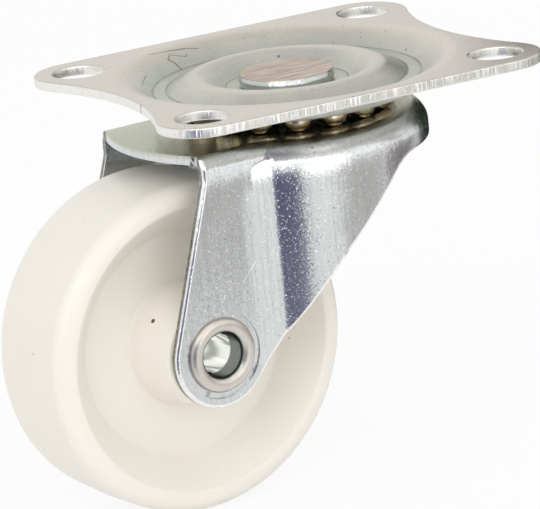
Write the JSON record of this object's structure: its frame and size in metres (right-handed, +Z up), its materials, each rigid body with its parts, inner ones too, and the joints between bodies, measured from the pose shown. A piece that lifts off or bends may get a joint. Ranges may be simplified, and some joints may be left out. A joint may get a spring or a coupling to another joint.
{
  "type": "light-duty swivel castor",
  "caption": "Light-duty swivel castor: pressed mounting plate, loose-ball swivel head, drawn sheet-steel fork, hollow axle rivet and a moulded ivory plastic wheel.",
  "frame": {"origin": "centre of the bolt pattern on the plate's top face, on the swivel axis", "axes": "+Z up out of the plate's mounting face, +X along the plate's longer hole spacing; at rest the wheel trails towards -X, swivelled 5.2 degrees as in the picture"},
  "size_m": [0.0645, 0.0428, 0.0494],
  "materials": {
    "plate": "bright zinc plated pressed sheet, slightly warm",
    "pin": "peened steel, scratched and slightly brown on top",
    "race": "zinc plated pressed sheet with grease",
    "fork": "bright zinc plated drawn sheet with a fine sparkle",
    "axle": "zinc plated rolled tube",
    "balls": "polished steel balls under brown grease",
    "wheel": "ivory moulded nylon or polypropylene, satin"
  },
  "bodies": {
    "plate": {"top_plate": "plate", "king_pin": "pin", "lower_race": "race"},
    "fork": {"fork": "fork", "axle_rivet": "axle"},
    "wheel": {"wheel": "wheel"},
    "upper_balls": {"upper_ball_01": "balls", "upper_ball_02": "balls", "upper_ball_03": "balls", "upper_ball_04": "balls", "upper_ball_05": "balls", "upper_ball_06": "balls", "upper_ball_07": "balls", "upper_ball_08": "balls", "upper_ball_09": "balls", "upper_ball_10": "balls", "upper_ball_11": "balls", "upper_ball_12": "balls", "upper_ball_13": "balls", "upper_ball_14": "balls", "upper_ball_15": "balls", "upper_ball_16": "balls"},
    "lower_balls": {"lower_ball_01": "balls", "lower_ball_02": "balls", "lower_ball_03": "balls", "lower_ball_04": "balls", "lower_ball_05": "balls", "lower_ball_06": "balls", "lower_ball_07": "balls", "lower_ball_08": "balls", "lower_ball_09": "balls", "lower_ball_10": "balls", "lower_ball_11": "balls", "lower_ball_12": "balls"}
  },
  "joints": [
    {"name": "fork_swivel", "type": "hinge", "parent": "plate", "child": "fork", "pos_m": [0, 0, -0.006], "axis": [0, 0, 1], "continuous": true},
    {"name": "upper_row_orbit", "type": "hinge", "parent": "plate", "child": "upper_balls", "pos_m": [0, 0, -0.00409], "axis": [0, 0, 1], "continuous": true},
    {"name": "lower_row_orbit", "type": "hinge", "parent": "plate", "child": "lower_balls", "pos_m": [0, 0, -0.0081], "axis": [0, 0, 1], "continuous": true},
    {"name": "wheel_spin", "type": "hinge", "parent": "fork", "child": "wheel", "pos_m": [-0.01942, -0.00177, -0.02942], "axis": [-0.0906, 0.9959, 0], "continuous": true}
  ],
  "couplings": [
    {"joint": "upper_row_orbit", "follows": "fork_swivel", "ratio": 0.5},
    {"joint": "lower_row_orbit", "follows": "fork_swivel", "ratio": 0.5}
  ]
}
